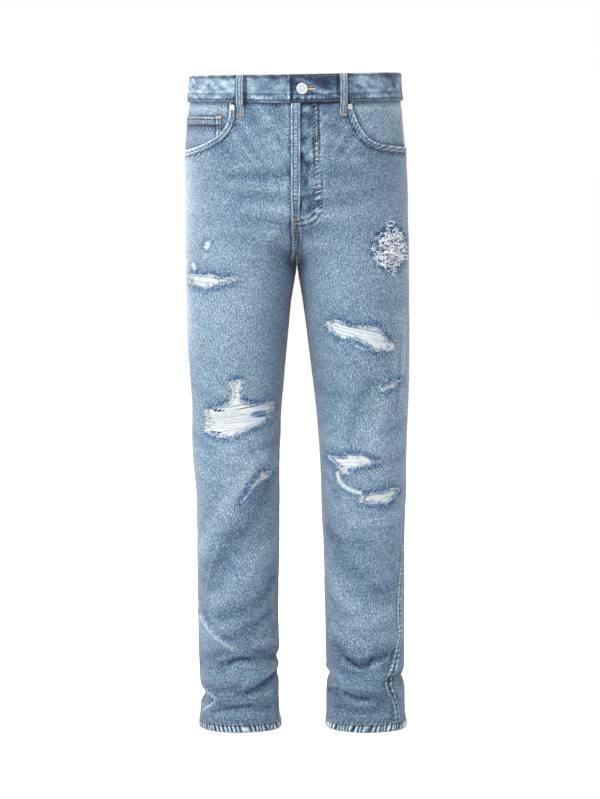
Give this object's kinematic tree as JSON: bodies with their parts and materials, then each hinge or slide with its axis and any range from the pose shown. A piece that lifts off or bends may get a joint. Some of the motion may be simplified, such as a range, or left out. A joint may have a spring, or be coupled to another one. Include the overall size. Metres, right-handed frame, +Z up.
{
  "type": "ripped jeans",
  "caption": "Straight-leg five-pocket denim jeans with frayed rips on thighs and knees, filled out as worn: hollow, open at the waist and both hems.",
  "frame": {"origin": "middle of the waist opening, halfway up the waistband, where the wearer's waist holds the jeans", "axes": "+Z up along the legs towards the waist, -Y the front of the jeans, -X the wearer's right leg"},
  "size_m": [0.3592, 0.2565, 1.0514],
  "materials": {
    "denim": "washed mid-blue twill, faded to pale blue on the thighs and knees, matte",
    "band_denim": "darker washed denim, worn pale along its edges, matte",
    "edge_denim": "denim worn to a pale blue grey on raised edges, matte",
    "rip_threads": "bare undyed cotton weft threads, matte",
    "stitching": "tonal grey-blue and tan sewing thread, with ochre bartacks",
    "button_metal": "plain brushed silver tack button",
    "rivet_metal": "worn pale brass and silver rivets"
  },
  "bodies": {
    "root": {"front_leg_right": "denim", "front_leg_left": "denim", "back_leg_right": "denim", "back_leg_left": "denim", "yoke_right": "denim", "yoke_left": "denim", "waistband": "band_denim", "fly_edge": "edge_denim", "pocket_facing_right": "edge_denim", "pocket_facing_left": "edge_denim", "coin_pocket": "edge_denim", "back_pocket_right": "denim", "back_pocket_left": "denim", "hem_right": "edge_denim", "hem_left": "edge_denim", "belt_loop_front_right": "edge_denim", "belt_loop_front_left": "edge_denim", "belt_loop_back_right": "edge_denim", "belt_loop_back_left": "edge_denim", "belt_loop_centre": "edge_denim", "rip_threads_right_thigh": "rip_threads", "rip_threads_right_knee": "rip_threads", "rip_threads_right_below_knee": "rip_threads", "rip_threads_left_upper_thigh": "rip_threads", "rip_threads_left_thigh": "rip_threads", "rip_threads_left_above_knee": "rip_threads", "rip_threads_left_knee": "rip_threads", "rip_threads_left_below_knee": "rip_threads", "button": "button_metal", "rivet_right": "rivet_metal", "rivet_left": "rivet_metal"}
  },
  "joints": []
}
